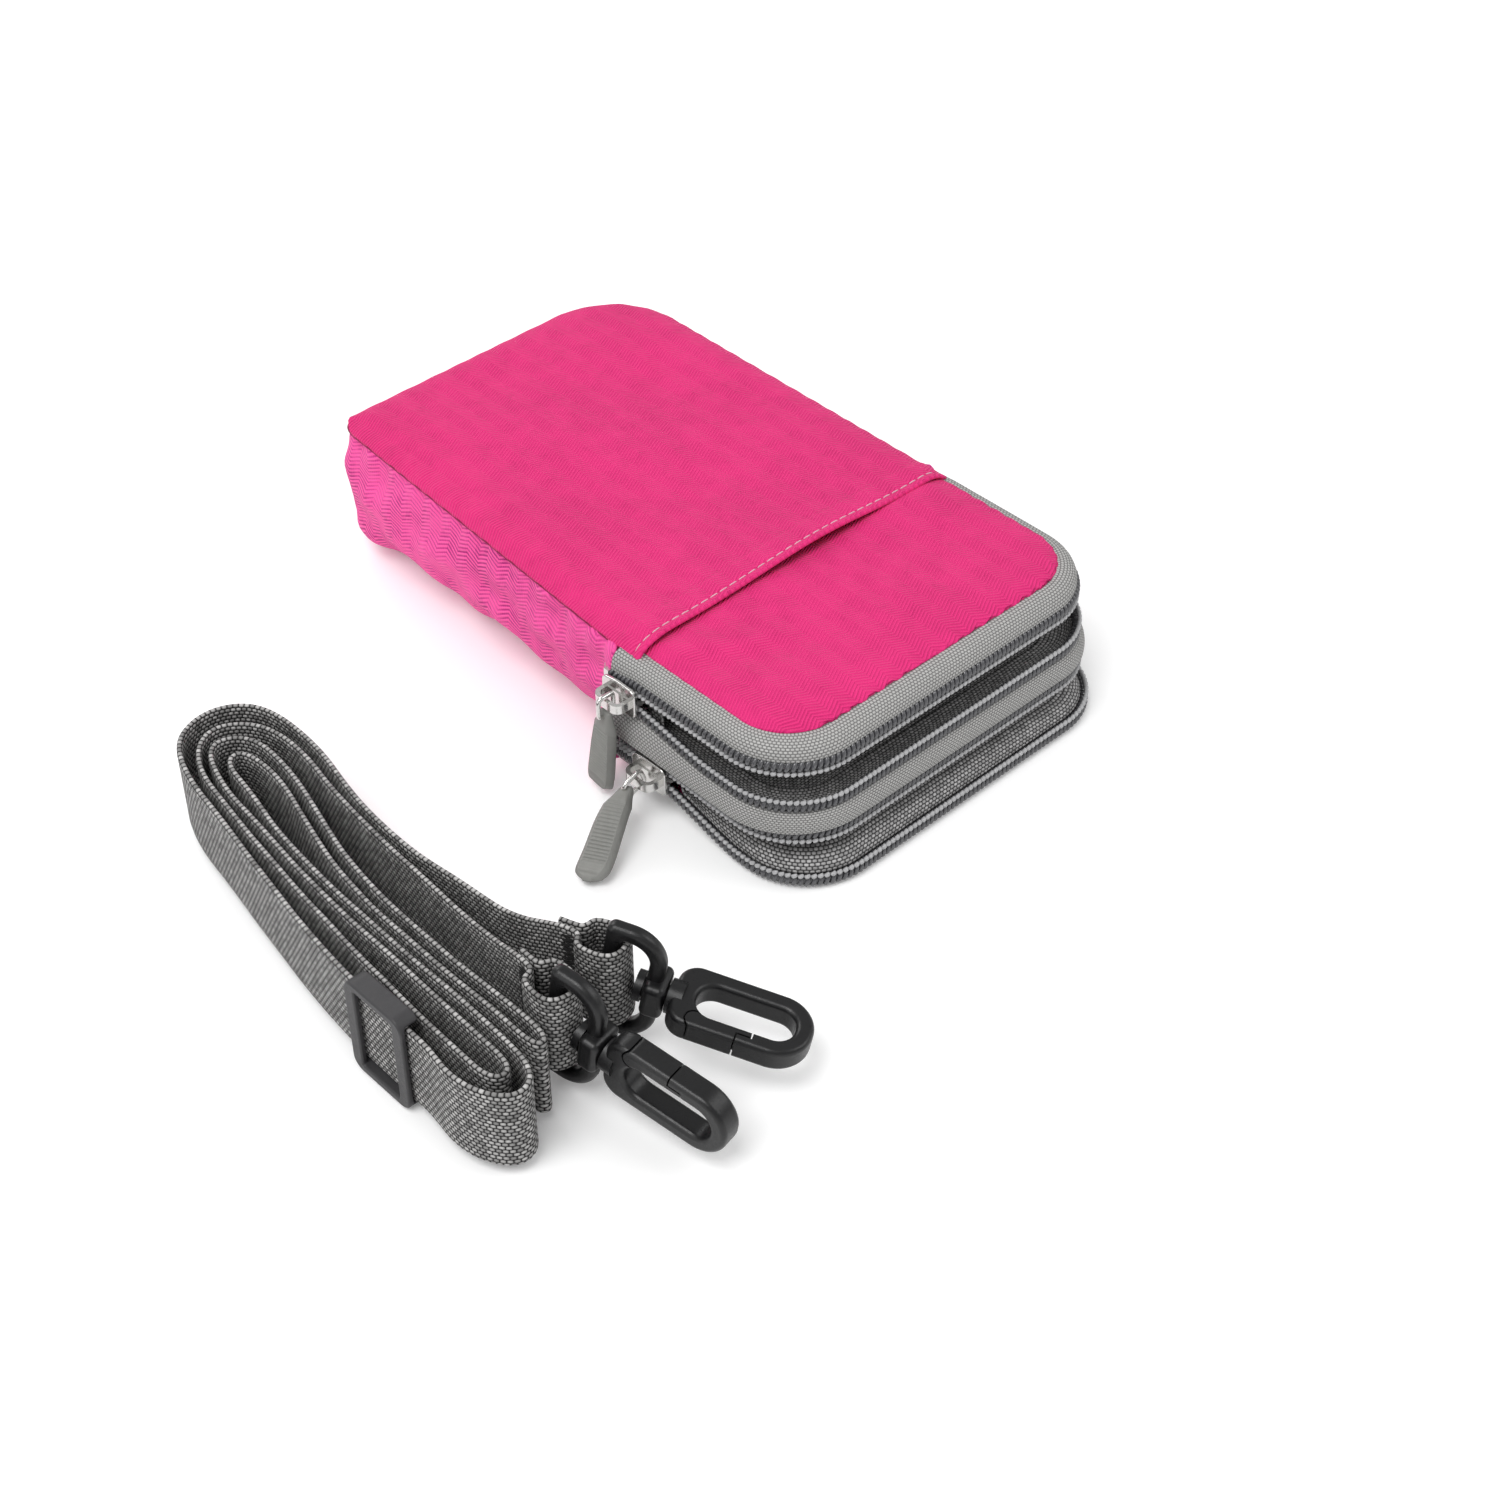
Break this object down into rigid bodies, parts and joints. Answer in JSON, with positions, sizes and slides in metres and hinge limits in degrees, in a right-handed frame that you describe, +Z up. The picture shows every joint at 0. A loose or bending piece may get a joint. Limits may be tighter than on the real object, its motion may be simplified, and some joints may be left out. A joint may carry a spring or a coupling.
{
  "type": "phone pouch",
  "caption": "Padded fabric pouch with two zipped compartments for phones, a slip pocket on its front and a folded shoulder strap with snap hooks.",
  "frame": {"origin": "on the floor under the pouch, at the middle of its width, on the belt loop's outer face", "axes": "+Z up out of the pouch's front, +Y from the zipped mouth to the closed end, +X across its width"},
  "size_m": [0.1942, 0.2083, 0.038],
  "materials": {
    "pink_fabric": "woven polyester with a fine twill",
    "grey_tape": "grey woven zip tape",
    "zip_coil": "charcoal nylon coil",
    "lining_fabric": "dark grey woven lining",
    "foam": "thin foam padding",
    "nickel": "bright nickel",
    "grey_rubber": "moulded grey rubber",
    "webbing": "charcoal melange webbing",
    "black_plastic": "black satin plastic",
    "thread": "grey sewing thread"
  },
  "bodies": {
    "pouch": {"front_panel": "pink_fabric", "slip_pocket": "pink_fabric", "side_gusset": "pink_fabric", "back_panel": "pink_fabric", "belt_loop": "pink_fabric", "strap_loop_left": "webbing", "strap_loop_right": "webbing", "front_padding": "foam", "back_padding": "foam", "front_lining": "lining_fabric", "back_lining": "lining_fabric", "gusset_lining": "lining_fabric", "divider": "lining_fabric", "front_tape": "grey_tape", "divider_upper_tape": "grey_tape", "divider_lower_tape": "grey_tape", "back_tape": "grey_tape", "front_coil": "zip_coil", "divider_upper_coil": "zip_coil", "divider_lower_coil": "zip_coil", "back_coil": "zip_coil", "upper_zip_stops": "nickel", "lower_zip_stops": "nickel"},
    "upper_slider": {"upper_slider": "nickel"},
    "upper_link": {"upper_link": "nickel"},
    "upper_pull": {"upper_pull": "grey_rubber"},
    "lower_slider": {"lower_slider": "nickel"},
    "lower_link": {"lower_link": "nickel"},
    "lower_pull": {"lower_pull": "grey_rubber"},
    "strap": {"strap_webbing": "webbing", "bar_tacks": "thread"},
    "adjuster": {"adjuster": "black_plastic"},
    "near_eye": {"near_eye": "black_plastic"},
    "near_hook": {"near_hook": "black_plastic"},
    "near_gate": {"near_gate": "black_plastic"},
    "far_eye": {"far_eye": "black_plastic"},
    "far_hook": {"far_hook": "black_plastic"},
    "far_gate": {"far_gate": "black_plastic"}
  },
  "joints": [
    {"name": "upper_zip_slide", "type": "slide", "parent": "pouch", "child": "upper_slider", "axis": [0, -1, 0], "range_m": [0, 0.002]},
    {"name": "upper_link_swing", "type": "hinge", "parent": "upper_slider", "child": "upper_link", "pos_m": [-0.05555, -0.028, 0.0265], "axis": [0, 1, 0], "range_deg": [0, 75]},
    {"name": "upper_pull_swing", "type": "hinge", "parent": "upper_link", "child": "upper_pull", "pos_m": [-0.05555, -0.028, 0.0232], "axis": [1, 0, 0], "range_deg": [-3, 60]},
    {"name": "lower_zip_slide", "type": "slide", "parent": "pouch", "child": "lower_slider", "axis": [0, -1, 0], "range_m": [0, 0.016]},
    {"name": "lower_link_swing", "type": "hinge", "parent": "lower_slider", "child": "lower_link", "pos_m": [-0.05555, -0.037, 0.01], "axis": [0, 1, 0], "range_deg": [-70, 20]},
    {"name": "lower_pull_swing", "type": "hinge", "parent": "lower_link", "child": "lower_pull", "pos_m": [-0.05865, -0.037, 0.00887], "axis": [-0.342, 0, 0.9397], "range_deg": [-35, 60]},
    {"name": "strap_lift", "type": "slide", "parent": "pouch", "child": "strap", "axis": [0, 0, 1], "range_m": [0, 0.1]},
    {"name": "adjuster_slide", "type": "slide", "parent": "strap", "child": "adjuster", "axis": [0, 1, 0], "range_m": [-0.003, 0.008]},
    {"name": "near_eye_swing", "type": "hinge", "parent": "strap", "child": "near_eye", "pos_m": [-0.11613, -0.08219, 0.0168], "axis": [0.0312, -0.1533, 0.9877], "range_deg": [-25, 5]},
    {"name": "near_hook_swivel", "type": "hinge", "parent": "near_eye", "child": "near_hook", "pos_m": [-0.11613, -0.08219, 0.0168], "axis": [0.1969, -0.9679, -0.1564], "continuous": true},
    {"name": "near_gate_press", "type": "hinge", "parent": "near_hook", "child": "near_gate", "pos_m": [-0.11213, -0.10186, 0.01949], "axis": [0.9799, 0.1994, 0], "range_deg": [0, 12], "stiffness_Nm_per_rad": 0.05},
    {"name": "far_eye_swing", "type": "hinge", "parent": "strap", "child": "far_eye", "pos_m": [-0.10148, -0.08047, 0.0168], "axis": [0.0868, -0.1504, 0.9848], "range_deg": [-5, 40]},
    {"name": "far_hook_swivel", "type": "hinge", "parent": "far_eye", "child": "far_hook", "pos_m": [-0.10148, -0.08047, 0.0168], "axis": [0.4924, -0.8529, -0.1736], "continuous": true},
    {"name": "far_gate_press", "type": "hinge", "parent": "far_hook", "child": "far_gate", "pos_m": [-0.09695, -0.09991, 0.01343], "axis": [0.0868, -0.1504, 0.9848], "range_deg": [0, 12], "stiffness_Nm_per_rad": 0.05}
  ]
}
